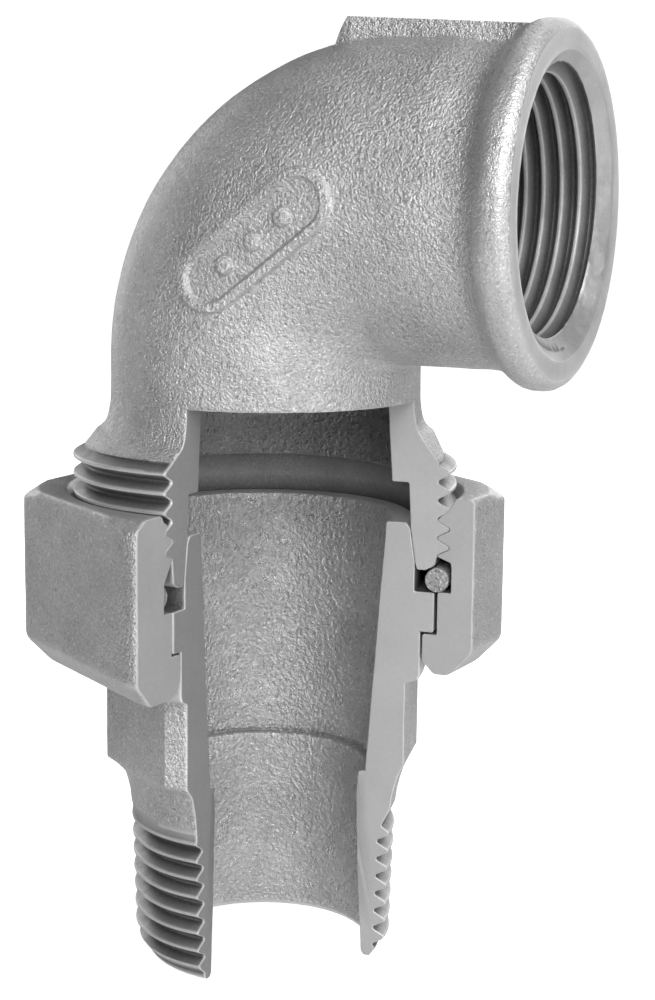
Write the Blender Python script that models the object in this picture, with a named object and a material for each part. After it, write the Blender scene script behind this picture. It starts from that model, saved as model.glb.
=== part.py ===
"""Union elbow, 1 inch, malleable iron, with a wedge cut away to show its inside.

Four separate bodies: the elbow with its female thread, the union nut, the tailpiece with its
male thread, and the sealing ring.  The union axis is Z with its origin at the tailpiece's
threaded end, and the elbow's arm points along +X.  Lengths below are millimetres.
"""

import math

import bmesh
import bpy

MM = 0.001

# Pipe thread, 11 turns per inch, 55 degrees.
PITCH = 2.309
THREAD_DEPTH = 1.479
CREST_FLAT = PITCH / 6.0

# The cut-away wedge: material is left from CUT_START round to CUT_END, seen from above.
CUT_START = 5.2
CUT_END = 267.4
WINDOW_TOP = 71.6
SWEEP_STEPS = 26
WEDGE_STEPS = 9

# Elbow: vertical neck, quarter bend, horizontal arm.
ARM_HEIGHT = 95.4
BEND_RADIUS = 19.5
TUBE_RADIUS = 19.15
BACK_RISE = 0.65
BACK_END_X = 30.0
BORE_RADIUS = 15.3
NECK_BORE = 15.9
MOUTH_FACE = 38.5
FACE_INNER = 17.5
FACE_OUTER = 20.2
BEAD_RADIUS = 21.3
MOUTH_CHAMFER = 2.2
MOUTH_CREST = 15.4
FEMALE_ROOT = 16.625
FEMALE_DEEP_END = 20.4
FEMALE_CREST_AT_START = 33.8

# Raised strip on top of the arm.
STRIP_TOP = 116.9
STRIP_TOP_X = 12.8
STRIP_FALL = 0.048
STRIP_HALF_ANGLE = 13.0
STRIP_FOOT_ANGLE = 15.5
STRIP_FOOT_BEND = 77.1
STRIP_FIRST_BEND = 80.6
STRIP_LAST_X = 34.6

# Union thread on the elbow's collar and in the nut.
UNION_CREST = 23.9
UNION_CREST_Z = 56.04
UNION_CLEARANCE = 0.3
COLLAR_THREAD_LOW = 51.4
COLLAR_THREAD_HIGH = 64.4

# Tailpiece.
MALE_GAUGE_RADIUS = 16.625
MALE_GAUGE_Z = 10.4
MALE_TAPER = 1.0 / 32.0
MALE_CREST_Z = 11.89
MALE_THREAD_LOW = 0.35
MALE_THREAD_HIGH = 19.9
WRENCH_FLAT = 18.5
WRENCH_FLAT_AZIMUTH = 12.0
WRENCH_SIDES = 8
WRENCH_LOW = 25.7
WRENCH_HIGH = 36.3

# Union nut.
NUT_FLAT = 26.75
NUT_CORNER = 30.2
NUT_CORNER_AZIMUTH = 26.4
NUT_SIDES = 6
NUT_LOW = 37.75
NUT_HIGH = 59.9
NUT_BEVEL = 2.9
NUT_TOP_EDGE = 28.2
NUT_TOP_DROP = 0.3
NUT_CORNER_FALL = 0.25
NUT_THREAD_LOW = 51.9
NUT_THREAD_HIGH = 59.0

# Sealing ring.
RING_RADIUS = 22.45
RING_Z = 49.6
RING_SECTION = 1.3
RING_SIDES = 12
RING_END = 263.0


def clear_scene():
    """Remove every object that is already in the scene."""
    for obj in list(bpy.data.objects):
        bpy.data.objects.remove(obj, do_unlink=True)


def make_material(name, color, metallic, roughness):
    """Return a plain Principled material."""
    mat = bpy.data.materials.new(name)
    mat.use_nodes = True
    shader = mat.node_tree.nodes["Principled BSDF"]
    shader.inputs["Base Color"].default_value = (*color, 1.0)
    shader.inputs["Metallic"].default_value = metallic
    shader.inputs["Roughness"].default_value = roughness
    return mat


def add_object(name, verts, faces, material):
    """Add one mesh object, with its corners given in millimetres."""
    mesh = bpy.data.meshes.new(name)
    mesh.from_pydata([tuple(c * MM for c in v) for v in verts], [], faces)
    shape = bmesh.new()
    shape.from_mesh(mesh)
    bmesh.ops.recalc_face_normals(shape, faces=shape.faces)
    shape.to_mesh(mesh)
    shape.free()
    obj = bpy.data.objects.new(name, mesh)
    bpy.context.scene.collection.objects.link(obj)
    obj.data.materials.append(material)
    return obj


def azimuths(start, end, steps, extra=()):
    """Evenly spread angles from start to end, moved onto any extra angles that are near."""
    angles = [start + (end - start) * k / steps for k in range(steps + 1)]
    reach = 0.45 * (end - start) / steps
    for special in extra:
        near = min(range(len(angles)), key=lambda k: abs(angles[k] - special))
        inside = 0 < near < len(angles) - 1
        free = not any(abs(angles[near] - other) < 1e-6 for other in extra)
        if inside and free and abs(angles[near] - special) < reach:
            angles[near] = special
        else:
            angles.append(special)
    return sorted(set(angles))


def polar(radius, azimuth, height):
    """Point at a radius and azimuth about Z."""
    a = math.radians(azimuth)
    return (radius * math.cos(a), radius * math.sin(a), height)


def polygon_radius(flat, sides, flat_azimuth, azimuth):
    """Distance from the axis to a regular polygon's side, in one direction."""
    step = 360.0 / sides
    off = (azimuth - flat_azimuth + step / 2.0) % step - step / 2.0
    return flat / math.cos(math.radians(off))


def thread_rows(low, high, crest_at, turn, ends_on_crest):
    """Heights of the thread's crest and root lines at the sweep's start, as (height, is crest).

    The lines climb by turn pitches along the sweep, so only those that stay between low and
    high all the way are kept, and the set starts and ends on the kind of line asked for.
    """
    rows = []
    first = int((low - crest_at) / PITCH) - 2
    last = int((high - crest_at) / PITCH) + 2
    half = CREST_FLAT / 2.0
    for k in range(first, last + 1):
        centre = crest_at + k * PITCH
        rows.append((centre - half, True))
        rows.append((centre + half, True))
        rows.append((centre + PITCH / 2.0 - half, False))
        rows.append((centre + PITCH / 2.0 + half, False))
    margin = 0.1
    top = high - margin - turn * PITCH
    rows = [row for row in rows if low + margin <= row[0] <= top]
    while rows[0][1] != ends_on_crest:
        rows.pop(0)
    while rows[-1][1] != ends_on_crest:
        rows.pop()
    return rows


def ring_faces(first, second, count):
    """Quads between two closed rings of corners that start at the given indices."""
    faces = []
    for i in range(count):
        j = (i + 1) % count
        faces.append((first + i, first + j, second + j, second + i))
    return faces


def sweep_faces(sections):
    """Faces joining equal polygons in a row, with both ends closed."""
    count = len(sections[0])
    end = (len(sections) - 1) * count
    faces = []
    for start in range(0, end, count):
        faces += ring_faces(start, start + count, count)
    faces.append(tuple(range(count - 1, -1, -1)))
    faces.append(tuple(range(end, end + count)))
    return faces


def swept_solid(name, profile_at, angles, material):
    """Solid made by turning a profile, which may change with the azimuth, about Z."""
    sections = []
    for angle in angles:
        sections.append([polar(r, angle, z) for r, z in profile_at(angle)])
    faces = sweep_faces(sections)
    verts = [v for section in sections for v in section]
    return add_object(name, verts, faces, material)


def union_rise(azimuth):
    """Climb of a right-hand thread from the cut's start to an azimuth."""
    return PITCH * (azimuth - CUT_START) / 360.0


def collar_profile(azimuth):
    """Collar below the window: outer side down, end face, inner side up."""
    outer = [(19.2, WINDOW_TOP), (19.6, 68.5), (20.1, 67.3), (20.9, 66.5), (22.5, 65.6)]
    outer += [(23.9, 65.0), (24.1, COLLAR_THREAD_HIGH)]
    turn = (CUT_END - CUT_START) / 360.0
    rows = thread_rows(COLLAR_THREAD_LOW, COLLAR_THREAD_HIGH, UNION_CREST_Z, turn, False)
    thread = []
    for height, is_crest in reversed(rows):
        z = height + union_rise(azimuth)
        r = UNION_CREST if is_crest else UNION_CREST - THREAD_DEPTH
        thread.append((min(r, 22.25 + 1.1 * (z - COLLAR_THREAD_LOW)), z))
    inner = [(22.1, COLLAR_THREAD_LOW), (21.0, 50.8), (20.35, 50.8), (19.95, 51.6)]
    inner += [(19.3, 56.1), (18.75, 61.0), (16.8, 61.0), (16.5, 61.5), (NECK_BORE, WINDOW_TOP)]
    return outer + thread + inner


def tube_point(station, azimuth, radius):
    """Point on a tube section; station is ('z', height), ('bend', degrees) or ('x', x)."""
    kind, value = station
    bend = {"z": 0.0, "bend": value, "x": 90.0}[kind]
    a = math.radians(bend)
    centre_x = BEND_RADIUS * (1.0 - math.cos(a))
    centre_z = ARM_HEIGHT - BEND_RADIUS * (1.0 - math.sin(a))
    if kind == "z":
        centre_z = value
    if kind == "x":
        centre_x = value
    phi = math.radians(azimuth)
    across = radius * math.cos(phi)
    return (
        centre_x + across * math.cos(a),
        radius * math.sin(phi),
        centre_z - across * math.sin(a),
    )


def outer_radius(station, azimuth, radius):
    """Outside radius of the elbow, with its fuller back and the raised strip on the arm."""
    kind, value = station
    fuller = {"z": 0.0, "bend": math.sin(math.radians(value)), "x": float(value < BACK_END_X)}[kind]
    radius += BACK_RISE * fuller * max(0.0, -math.cos(math.radians(azimuth))) ** 2
    off = abs(azimuth - 180.0)
    if off > STRIP_HALF_ANGLE + 0.01:
        return radius
    if kind == "z" or (kind == "bend" and value < STRIP_FIRST_BEND):
        return radius
    if kind == "x" and value > STRIP_LAST_X:
        return radius
    a = math.radians(value if kind == "bend" else 90.0)
    centre_x, _, centre_z = tube_point(station, 0.0, 0.0)
    height = STRIP_TOP - STRIP_FALL * (centre_x - STRIP_TOP_X) - centre_z
    reach = height / (math.sin(a) - STRIP_FALL * math.cos(a))
    return max(radius, reach / math.cos(math.radians(off)))


def outer_stations():
    """Outside of the neck, bend and arm up to the mouth's flat face."""
    stations = [(("z", WINDOW_TOP), 19.2), (("z", ARM_HEIGHT - BEND_RADIUS), TUBE_RADIUS)]
    bends = (12.0, 24.0, 36.0, 48.0, 59.0, 69.0, STRIP_FOOT_BEND, STRIP_FIRST_BEND, 85.3, 90.0)
    for bend in bends:
        stations.append((("bend", bend), TUBE_RADIUS))
    bead = ((30.5, 19.1), (32.4, 19.3), (33.6, 19.8), (34.6, 20.6), (35.6, BEAD_RADIUS))
    rim = ((36.8, BEAD_RADIUS), (37.8, 20.9), (MOUTH_FACE, FACE_OUTER))
    for x, radius in bead + rim:
        stations.append((("x", x), radius))
    return stations


def mouth_rows():
    """Female thread lines from the mouth inwards, as (x at the first azimuth, radius)."""
    rows = thread_rows(FEMALE_DEEP_END, MOUTH_FACE - 2.3, FEMALE_CREST_AT_START, 1.0, False)
    result = []
    for x, is_crest in reversed(rows):
        result.append((x, FEMALE_ROOT - THREAD_DEPTH if is_crest else FEMALE_ROOT))
    return result


def inner_stations():
    """Inside of the arm and bend from the end of the female thread down to the window."""
    stations = [(("x", 20.0), FEMALE_ROOT), (("bend", 90.0), BORE_RADIUS)]
    for bend in (78.0, 66.0, 54.0, 42.0, 30.0, 15.0):
        stations.append((("bend", bend), BORE_RADIUS))
    stations.append((("z", ARM_HEIGHT - BEND_RADIUS), BORE_RADIUS))
    stations.append((("z", WINDOW_TOP), NECK_BORE))
    return stations


def add_mouth_thread(verts, faces, ring, chamfer, inner):
    """Join the chamfer's ring to the inner ring with the helical female thread.

    After a full turn each thread line meets the line one pitch nearer the mouth.  The two
    open ends of the thread are closed by a flat face each, where the turn starts and ends.
    """
    per_turn = 4
    end = len(ring) - 1
    lines = []
    for x, radius in mouth_rows():
        lines.append(len(verts))
        for azimuth in ring:
            rise = PITCH * (azimuth - ring[0]) / 360.0
            verts.append(tube_point(("x", x + rise), azimuth, radius))
    chain = [chamfer] + lines + [inner]
    for a, b in zip(chain, chain[1:]):
        for i in range(end):
            faces.append((a + i, a + i + 1, b + i + 1, b + i))
    for k in range(per_turn, len(lines) - 1):
        outer_a, outer_b = lines[k - per_turn], lines[k - per_turn + 1]
        faces.append((lines[k] + end, outer_a, outer_b, lines[k + 1] + end))
    faces.append((chamfer + end, chamfer, lines[0], lines[per_turn] + end))
    faces.append(tuple([chamfer + end] + [line + end for line in lines[per_turn::-1]]))
    last = lines[-1 - per_turn:]
    faces.append((last[-1] + end, last[0], inner, inner + end))
    faces.append(tuple(last + [inner]))


def build_elbow(material):
    """Elbow body: threaded collar, bend, arm and threaded mouth as one closed mesh."""
    strip = [180.0 - STRIP_FOOT_ANGLE, 180.0 - STRIP_HALF_ANGLE, 180.0]
    strip += [180.0 + STRIP_HALF_ANGLE, 180.0 + STRIP_FOOT_ANGLE]
    sweep = azimuths(CUT_START, CUT_END, SWEEP_STEPS, strip)
    gap = CUT_START + 360.0 - CUT_END
    wedge = [CUT_END + gap * k / WEDGE_STEPS for k in range(1, WEDGE_STEPS)]
    ring = sweep + wedge
    count = len(ring)
    verts = []
    faces = []

    rings = []
    for station, radius in outer_stations():
        rings.append(len(verts))
        for azimuth in ring:
            r = outer_radius(station, azimuth, radius)
            verts.append(tube_point(station, azimuth, r))
    outer_bottom = rings[0]
    for x, radius in ((MOUTH_FACE, FACE_INNER), (MOUTH_FACE - MOUTH_CHAMFER, MOUTH_CREST)):
        rings.append(len(verts))
        for azimuth in ring:
            verts.append(tube_point(("x", x), azimuth, radius))
    for a, b in zip(rings, rings[1:]):
        faces += ring_faces(a, b, count)

    inner = []
    for station, radius in inner_stations():
        inner.append(len(verts))
        for azimuth in ring:
            verts.append(tube_point(station, azimuth, radius))
    add_mouth_thread(verts, faces, ring, rings[-1], inner[0])
    for a, b in zip(inner, inner[1:]):
        faces += ring_faces(a, b, count)

    collar = []
    inner_top = inner[-1]
    for k, azimuth in enumerate(sweep):
        profile = collar_profile(azimuth)
        indices = [outer_bottom + k]
        for r, z in profile[1:-1]:
            indices.append(len(verts))
            verts.append(polar(r, azimuth, z))
        indices.append(inner_top + k)
        collar.append(indices)
    for a, b in zip(collar, collar[1:]):
        for i in range(len(a) - 1):
            faces.append((a[i], a[i + 1], b[i + 1], b[i]))
    faces.append(tuple(collar[0]))
    faces.append(tuple(reversed(collar[-1])))
    first = len(sweep) - 1
    for k in range(first, count):
        j = (k + 1) % count
        faces.append((outer_bottom + k, outer_bottom + j, inner_top + j, inner_top + k))
    return add_object("elbow_body", verts, faces, material)


def male_radius(height, is_crest):
    """Tapered male thread with a lead-in cone at its end."""
    crest = MALE_GAUGE_RADIUS + (height - MALE_GAUGE_Z) * MALE_TAPER
    radius = crest if is_crest else crest - THREAD_DEPTH
    return min(radius, 14.75 + 0.72 * (height - MALE_THREAD_LOW))


def tail_profile(azimuth):
    """Tailpiece: end face, male thread, wrench flats, hub, flange, sleeve and bore."""
    turn = (CUT_END - CUT_START) / 360.0
    profile = [(13.7, 0.0), (14.5, 0.0), (14.75, MALE_THREAD_LOW)]
    rows = thread_rows(MALE_THREAD_LOW, MALE_THREAD_HIGH, MALE_CREST_Z, turn, False)
    for height, is_crest in rows:
        z = height + union_rise(azimuth)
        profile.append((male_radius(z, is_crest), z))
    profile += [(16.95, MALE_THREAD_HIGH), (17.1, 21.3), (17.4, 22.6), (17.9, 24.3)]
    flat = polygon_radius(WRENCH_FLAT, WRENCH_SIDES, WRENCH_FLAT_AZIMUTH, azimuth)
    profile += [(flat, WRENCH_LOW), (flat, WRENCH_HIGH)]
    profile += [(20.1, 36.7), (20.45, 37.5), (20.45, 43.02), (22.15, 43.02), (22.15, 48.0)]
    profile += [(19.6, 48.0), (19.6, 51.6), (18.95, 55.9), (18.4, 56.55), (15.9, 56.55)]
    profile += [(14.5, 36.0), (13.9, 29.0), (13.6, 25.2), (12.65, 24.0), (12.5, 21.0)]
    profile += [(12.9, 9.0), (13.3, 0.6)]
    return profile


def build_tail(material):
    """Tailpiece with the wedge left out."""
    step = 360.0 / WRENCH_SIDES
    first = WRENCH_FLAT_AZIMUTH + step / 2.0
    corners = [first + step * k for k in range(WRENCH_SIDES)]
    corners = [c for c in corners if CUT_START < c < CUT_END]
    angles = azimuths(CUT_START, CUT_END, SWEEP_STEPS, corners)
    return swept_solid("tailpiece", tail_profile, angles, material)


def nut_radius(azimuth, inset=0.0):
    """Outside of the hexagon nut, with its corners turned down."""
    middle = NUT_CORNER_AZIMUTH + 180.0 / NUT_SIDES
    flat = polygon_radius(NUT_FLAT - inset, NUT_SIDES, middle, azimuth)
    return min(flat, NUT_CORNER - inset)


def nut_profile(azimuth):
    """Union nut: lip, flat bottom, bevel, flats, top face, thread, groove and ledge."""
    turn = (CUT_END - CUT_START) / 360.0
    outside = nut_radius(azimuth)
    inset = nut_radius(azimuth, NUT_BEVEL)
    top_edge = min(outside - 0.4, NUT_TOP_EDGE)
    profile = [(20.75, 39.3), (22.3, NUT_LOW), (inset, NUT_LOW), (outside, NUT_LOW + 3.1)]
    drop = NUT_TOP_DROP + NUT_CORNER_FALL * (outside - NUT_FLAT)
    profile += [(outside, NUT_HIGH - drop), (top_edge, NUT_HIGH), (24.75, NUT_HIGH)]
    rows = thread_rows(NUT_THREAD_LOW, NUT_THREAD_HIGH, UNION_CREST_Z, turn, True)
    profile.append((UNION_CREST + UNION_CLEARANCE, NUT_THREAD_HIGH))
    for height, is_crest in reversed(rows):
        z = height + union_rise(azimuth)
        r = UNION_CREST + UNION_CLEARANCE
        if not is_crest:
            r -= THREAD_DEPTH
        profile.append((max(r, 24.75 - (NUT_HIGH - z)), z))
    profile += [(24.2, NUT_THREAD_LOW), (24.3, 51.2), (24.3, 48.1), (22.6, 48.1)]
    profile += [(22.6, 42.72), (20.75, 42.72)]
    return profile


def build_nut(material):
    """Union nut with the wedge left out."""
    reach = 30.0 - math.degrees(math.acos(NUT_FLAT / NUT_CORNER))
    extra = []
    for k in range(NUT_SIDES):
        corner = NUT_CORNER_AZIMUTH + 60.0 * k
        for angle in (corner - reach, corner, corner + reach):
            if CUT_START + 0.3 < angle < CUT_END - 0.3:
                extra.append(angle)
    angles = azimuths(CUT_START, CUT_END, SWEEP_STEPS, extra)
    return swept_solid("union_nut", nut_profile, angles, material)


def ring_profile(_azimuth):
    """Round section of the sealing ring."""
    points = []
    for k in range(RING_SIDES):
        a = 2.0 * math.pi * k / RING_SIDES
        points.append((RING_RADIUS + RING_SECTION * math.cos(a), RING_Z + RING_SECTION * math.sin(a)))
    return points


def main():
    """Build the four bodies."""
    clear_scene()
    iron = make_material("cast_iron_elbow", (0.52, 0.52, 0.52), 0.55, 0.5)
    nut_iron = make_material("cast_iron_nut", (0.47, 0.47, 0.47), 0.55, 0.5)
    tail_iron = make_material("cast_iron_tail", (0.5, 0.5, 0.5), 0.55, 0.5)
    rubber = make_material("seal_rubber", (0.16, 0.16, 0.16), 0.0, 0.85)
    build_elbow(iron)
    build_nut(nut_iron)
    build_tail(tail_iron)
    swept_solid("seal_ring", ring_profile, azimuths(CUT_START, RING_END, SWEEP_STEPS), rubber)


main()
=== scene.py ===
"""Looks of the cut-away union elbow: fine meshes, iron and rubber materials, camera and light.

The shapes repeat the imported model's dimensions with fine helical threads, rounded corners and
a cast surface.  Lengths are millimetres and azimuths are degrees, unless a comment says
otherwise, and the finished meshes are in metres.
"""

import math

import bmesh
import bpy
import numpy as np
from mathutils import Matrix, Vector, noise


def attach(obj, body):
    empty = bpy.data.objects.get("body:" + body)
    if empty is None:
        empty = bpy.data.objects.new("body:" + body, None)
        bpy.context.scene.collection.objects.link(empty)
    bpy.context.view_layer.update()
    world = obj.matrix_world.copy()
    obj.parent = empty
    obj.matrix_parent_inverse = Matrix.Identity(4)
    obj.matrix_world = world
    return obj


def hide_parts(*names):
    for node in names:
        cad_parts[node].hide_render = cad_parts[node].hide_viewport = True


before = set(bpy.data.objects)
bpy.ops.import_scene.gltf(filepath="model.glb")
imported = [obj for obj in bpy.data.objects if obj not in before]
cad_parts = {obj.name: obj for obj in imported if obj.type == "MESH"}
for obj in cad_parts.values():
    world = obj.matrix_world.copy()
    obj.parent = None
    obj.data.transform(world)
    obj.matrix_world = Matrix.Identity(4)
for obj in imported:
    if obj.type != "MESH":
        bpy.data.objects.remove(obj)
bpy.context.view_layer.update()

MM = 0.001

# Pipe thread, 11 turns per inch.  The steps are the phases of its lines, from crest to crest.
PITCH = 2.309
THREAD_DEPTH = 1.479
THREAD_STEPS = (0.0, 0.075, 0.14, 0.36, 0.425, 0.5, 0.575, 0.64, 0.86, 0.925)
CREST_HALF = 1.0 / 12.0
FLANK = 1.0 / 3.0
THREAD_SOFT = 0.045
THREAD_MARGIN = 0.05

# The cut-away wedge runs from CUT_END up to CUT_START, seen from above.
CUT_START = 5.2
CUT_END = 267.4
WINDOW_TOP = 71.6
SWEEP_STEP = 1.1
EDGE_ANGLE = 0.35
EDGE_INSET = 0.1
SHARP_ANGLE = 38.0

# The wear attribute brightens a surface where it is above 0, and darkens it below. It holds some
# wear, and also painted highlights on cut edges and thread crests and painted shade in thread
# roots, pockets and on the left cut faces.
CUT_EDGE_HIGHLIGHT = 1.6
LEFT_SHADE = -1.3
NUT_SHADE = -0.4
CREST_HIGHLIGHT = 1.5

# Materials of an iron piece, and the length of a mesh side on each.
# The pocket finish is darker: painted shade in grooves and seats.
SLOTS = ("cast", "turned", "thread", "section", "bore", "smooth", "shaded_pocket")
SPACING = {"cast": 0.55, "bore": 0.6, "turned": 3.0, "thread": 3.0, "smooth": 0.9, "section": 3.0}
DEFAULT_SPACING = 3.0
BORE_RELIEF = 1.5
STREAK_SCALE = 9000.0

# Elbow: an upright neck, a quarter bend, and an arm along +X.
ARM_HEIGHT = 95.4
BEND_RADIUS = 19.5
HUB_HEIGHT = ARM_HEIGHT - BEND_RADIUS
TUBE_RADIUS = 19.15
BACK_RISE = 0.65
BACK_FADE_X = (26.0, 31.0)
BORE_RADIUS = 15.3
NECK_OUTER = 19.2
NECK_BORE = 15.9
NECK_BORE_HEIGHT = 4.9
NECK_FULLER = 0.05
BORE_BENDS = 26
BORE_NECK = (75.5, 74.5, 73.5, 72.5)
EASE_HEIGHT = 0.12

# Mouth: its outer bead as (x, radius), its face, and its reamed cone.
BEAD = (
    (29.0, 19.13), (30.5, 19.1), (31.6, 19.14), (32.4, 19.3), (33.1, 19.62), (33.8, 20.12),
    (34.5, 20.7), (35.2, 21.13), (35.9, 21.28), (36.7, 21.29), (37.4, 21.2), (37.95, 20.9),
    (38.3, 20.5), (38.5, 20.15),
)
BEAD_SMOOTH_FROM = 34.3
BEAD_CAST_FADE = (37.0, 38.3)
BEAD_EDGE_FADE = (37.9, 38.5)
BEAD_EDGE_WEAR = 0.5
MOUTH_FACE = 38.5
MOUTH_RINGS = ((20.0, 0.6), (19.3, 0.3), (18.5, 0.3), (17.85, 0.3))
FACE_INNER = 17.7
FACE_EDGE = 0.06
MOUTH_SLOPE = 1.35
MOUTH_RAGGED = 0.12
MOUTH_SEAM = 270.0

# Female thread.  Lines that would pass the face are stacked just behind it.
FEMALE_ROOT = 16.625
FEMALE_START_X = 20.0
FEMALE_DEEP_END = 20.4
FEMALE_CREST_X = 33.8
STACK_FROM = 0.07
STACK_STEP = 0.008

# Raised strip along the top of the arm.
STRIP_TOP = 116.9
STRIP_TOP_X = 12.8
STRIP_FALL = 0.048
STRIP_EDGE = 13.0
STRIP_FOOT = 15.3
STRIP_FOOT_BEND = 77.1
STRIP_TOP_BEND = 80.6
STRIP_LAST_X = 35.0

# Union thread.
UNION_CREST = 23.9
UNION_CREST_Z = 56.04
UNION_CLEARANCE = 0.08
COLLAR_THREAD = (51.4, 67.0)
COLLAR_LEAD = 22.25
COLLAR_LEAD_SLOPE = 1.1
NUT_THREAD = (51.9, 59.0)

# Flare from the collar's crests up to the neck, as (z, radius).
FLARE = (
    (69.9, 19.3), (68.6, 19.5), (67.6, 19.85), (67.0, 20.3),
    (66.4, 21.1), (65.7, 22.4), (65.0, 23.7), (64.6, 23.95),
)
FLARE_HEIGHTS = (70.0, 69.4, 68.9, 68.4, 67.9, 67.45, 67.1)
FLARE_LIFT = 0.7
FLARE_START_WIDTH = 15.0
FLARE_END_WIDTH = 30.0
FLARE_FOOT = 65.0

# Tailpiece.
MALE_GAUGE_RADIUS = 16.625
MALE_GAUGE_Z = 10.4
MALE_TAPER = 1.0 / 32.0
MALE_CREST_Z = 11.89
MALE_THREAD = (0.35, 19.9)
MALE_FADE = (16.3, 19.6)
MALE_LEAD = 14.75
MALE_LEAD_SLOPE = 0.72
MALE_STACK_STEP = 0.01
WRENCH_FLAT = 18.5
WRENCH_SIDES = 8
WRENCH_AZIMUTH = 12.0

# Union nut.
NUT_FLAT = 26.75
NUT_SIDES = 6
NUT_CORNER = 30.2
NUT_CORNER_SOFT = 0.35
NUT_CORNER_ANGLE = 4.0
NUT_AZIMUTH = 56.4
NUT_LOW = 37.75
NUT_HIGH = 59.9
NUT_BEVEL = 2.9
NUT_BEVEL_HEIGHT = 3.1
NUT_TOP_EDGE = 28.2
NUT_TOP_INSET = 0.4
NUT_TOP_DROP = 0.3
NUT_CORNER_FALL = 0.25
NUT_MOUTH = 24.75
NUT_ROOT = 24.2

# Sealing ring.
RING_RADIUS = 22.45
RING_Z = 49.6
RING_SECTION = 1.5
RING_SIDES = 20
RING_END = 263.0

# Raised casting mark on the bend, in the plane of the arm.
MARK_CENTRE = (7.5, 91.3)
MARK_SLOPE = 37.8
MARK_HALF = 7.2
MARK_RISE = 3.35
MARK_LINE = 0.85
MARK_LINE_POINTS = 13
MARK_HEIGHT = 0.72
MARK_SINK = 0.03
MARK_ROOT = 0.5
MARK_STRAIGHT = 26
MARK_TURN = 22
MARK_DOT = 1.25
MARK_DOT_STEP = 4.6
MARK_DOT_SIDES = 28
MARK_DOT_LEVELS = (
    (0.4, 1.0), (0.6, 0.92), (0.75, 0.75), (0.88, 0.4), (1.0, 0.0), (0.95, -1.0),
)
MARK_WEAR = 0.15

# Camera, with its place in metres.
CAMERA_AT = (0.11177, -0.22916, 0.10170)
CAMERA_AZIMUTH = 24.251
CAMERA_PITCH = 9.674
CAMERA_ROLL = 0.617
CAMERA_LENS = 74.19
CAMERA_SENSOR = 36.0

# Lamps as (name, azimuth, elevation, power).  Their sizes and places are in metres.
LIGHTS = (
    ("front", 24.0, 28.0, 2.55),
    ("right_high", 75.0, 45.0, 1.75),
    ("right", 60.0, 12.0, 0.7),
    ("rear", 180.0, 15.0, 0.8),
    ("rear_high", 180.0, 50.0, 0.5),
    ("left_rear", -120.0, 12.0, 0.65),
)
LIGHT_SIZE = 0.35
LIGHT_DISTANCE = 0.6
LIGHT_AIM = (0.0, 0.0, 0.06)
AMBIENT = 0.02
BACKDROP = 1.1

# Floor, in metres.  It leaves room for the tailpiece, which moves down as the union is unscrewed.
FLOOR_HALF = 4.0
FLOOR_DROP = 0.0095
FLOOR_GLOW = (0.6, 1.1)
FLOOR_SPREAD = (0.02, 0.16)


# ---------------------------------------------------------------- noise and profiles

def lump(point, size):
    """Smooth noise from -1 to 1 with lumps of about size millimetres."""
    return noise.noise(Vector(point) / size)


def cast_relief(point):
    """Height of a sand-cast surface at a point, in millimetres."""
    return 0.02 * lump(point, 1.2) + 0.035 * lump(point, 2.8) + 0.05 * lump(point, 9.0)


def ramp_area(x):
    """Area under the thread's flank ramp up to x."""
    a, b = CREST_HALF, CREST_HALF + FLANK
    if x < a:
        return 0.0
    if x < b:
        return (x - a) ** 2 / (2.0 * FLANK)
    return FLANK / 2.0 + (x - b)


def thread_depth(phase):
    """Depth of the rounded thread form, 0 on the crest and 1 in the root."""
    u = phase % 1.0
    u = min(u, 1.0 - u)
    low, high = u - THREAD_SOFT, u + THREAD_SOFT
    over = max(0.0, high - 0.5)
    area = ramp_area(high - over) - ramp_area(low) + over
    return min(1.0, area / (2.0 * THREAD_SOFT))


def thread_lines(low, high, crest_at, turn):
    """Thread lines as (height at the sweep's start, depth), from one root line to another."""
    lines = []
    first = int((low - crest_at) / PITCH) - 2
    last = int((high - crest_at) / PITCH) + 2
    for k in range(first, last + 1):
        for u in THREAD_STEPS:
            z = crest_at + (k + u) * PITCH
            if low + THREAD_MARGIN <= z <= high - THREAD_MARGIN - turn * PITCH:
                lines.append((z, thread_depth(u), u))
    while lines and abs(lines[0][2] - 0.5) > 1e-6:
        lines.pop(0)
    while lines and abs(lines[-1][2] - 0.5) > 1e-6:
        lines.pop()
    return [(z, d) for z, d, _ in lines]


def thread_highlight_and_shade(depth):
    """Painted highlights on the crests and painted shade in the roots."""
    return CREST_HIGHLIGHT if depth < 0.04 else -0.3 - min(1.0, 1.3 * depth)


def rise(azimuth):
    """Climb of a right-hand thread from the cut's start."""
    return PITCH * (azimuth - CUT_START) / 360.0


def rounded(corners):
    """Profile points with their corners rounded.

    Each corner is (r, z, rounding, slot, wear value), where slot is that of the side that
    follows; the wear value holds wear, painted highlights and painted shade.
    """
    out = []
    count = len(corners)
    for k, (r, z, size, slot, wear_and_painted_light) in enumerate(corners):
        if not size:
            out.append((r, z, slot, wear_and_painted_light))
            continue
        before, after = corners[k - 1], corners[(k + 1) % count]
        p = np.array((r, z))
        back = np.array(before[:2]) - p
        ahead = np.array(after[:2]) - p
        back_length, ahead_length = np.linalg.norm(back), np.linalg.norm(ahead)
        reach = min(size, 0.45 * back_length, 0.45 * ahead_length)
        a = p + back / max(back_length, 1e-9) * reach
        b = p + ahead / max(ahead_length, 1e-9) * reach
        for step in (0.0, 0.33, 0.67, 1.0):
            q = (1 - step) ** 2 * a + 2 * step * (1 - step) * p + step * step * b
            out.append((q[0], q[1], slot if step > 0.5 else before[3], wear_and_painted_light))
    return out


def side_counts(points):
    """How many pieces each side of a profile is split into."""
    counts = []
    for k, point in enumerate(points):
        after = points[(k + 1) % len(points)]
        length = math.hypot(after[0] - point[0], after[1] - point[1])
        counts.append(max(1, round(length / SPACING.get(point[2], DEFAULT_SPACING))))
    return counts


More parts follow.
